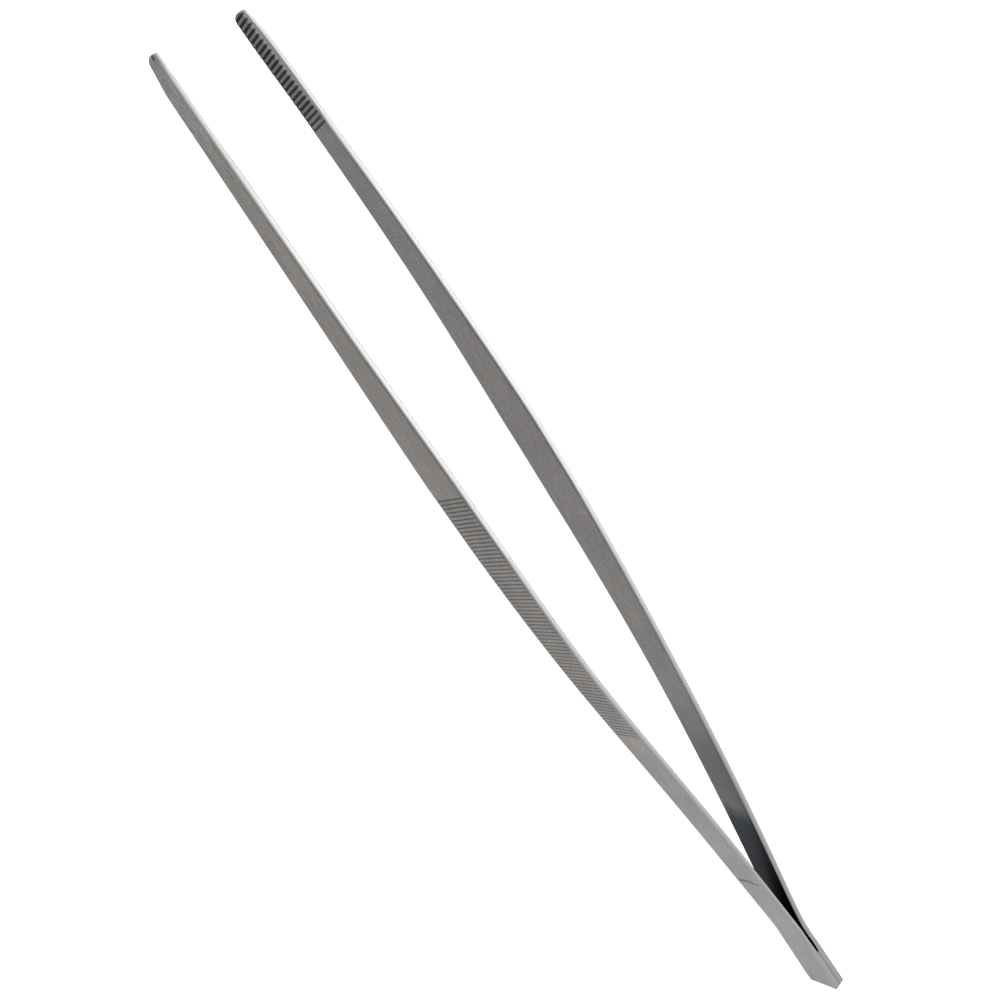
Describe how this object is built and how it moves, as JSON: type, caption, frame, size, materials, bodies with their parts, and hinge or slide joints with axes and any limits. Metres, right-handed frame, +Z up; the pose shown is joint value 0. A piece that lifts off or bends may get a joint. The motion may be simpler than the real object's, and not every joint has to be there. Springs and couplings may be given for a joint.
{
  "type": "aquascaping tweezers",
  "caption": "Long straight planting tweezers: two bowed spring-steel arms welded at the heel, grooved grips, toothed round tips.",
  "frame": {"origin": "middle of the bounding box, on the surface that the lower strip edges rest on", "axes": "+X from the heel to the tips, +Y from the far arm to the near arm, +Z up across the width of the strip"},
  "size_m": [0.27, 0.0276, 0.0115],
  "materials": {
    "near_root_steel": "fine lengthwise brushing",
    "near_blade_steel": "fine lengthwise brushing, polished edges",
    "far_root_steel": "fine lengthwise brushing",
    "far_blade_steel": "fine lengthwise brushing, polished edges",
    "weld_metal": "dull ground weld"
  },
  "bodies": {
    "heel": {"near_arm_root": "near_root_steel", "far_arm_root": "far_root_steel", "heel_weld": "weld_metal"},
    "near_arm": {"near_arm_blade": "near_blade_steel"},
    "far_arm": {"far_arm_blade": "far_blade_steel"}
  },
  "joints": [
    {"name": "near_arm_flex", "type": "hinge", "parent": "heel", "child": "near_arm", "pos_m": [-0.08005, 0.00551, 0.00575], "axis": [0, 0, -1], "range_deg": [0, 2.68], "stiffness_Nm_per_rad": 7},
    {"name": "far_arm_flex", "type": "hinge", "parent": "heel", "child": "far_arm", "pos_m": [-0.08005, -0.00423, 0.00575], "axis": [0, 0, 1], "range_deg": [0, 2.68], "stiffness_Nm_per_rad": 7}
  ],
  "couplings": [
    {"joint": "far_arm_flex", "follows": "near_arm_flex", "ratio": 1}
  ]
}
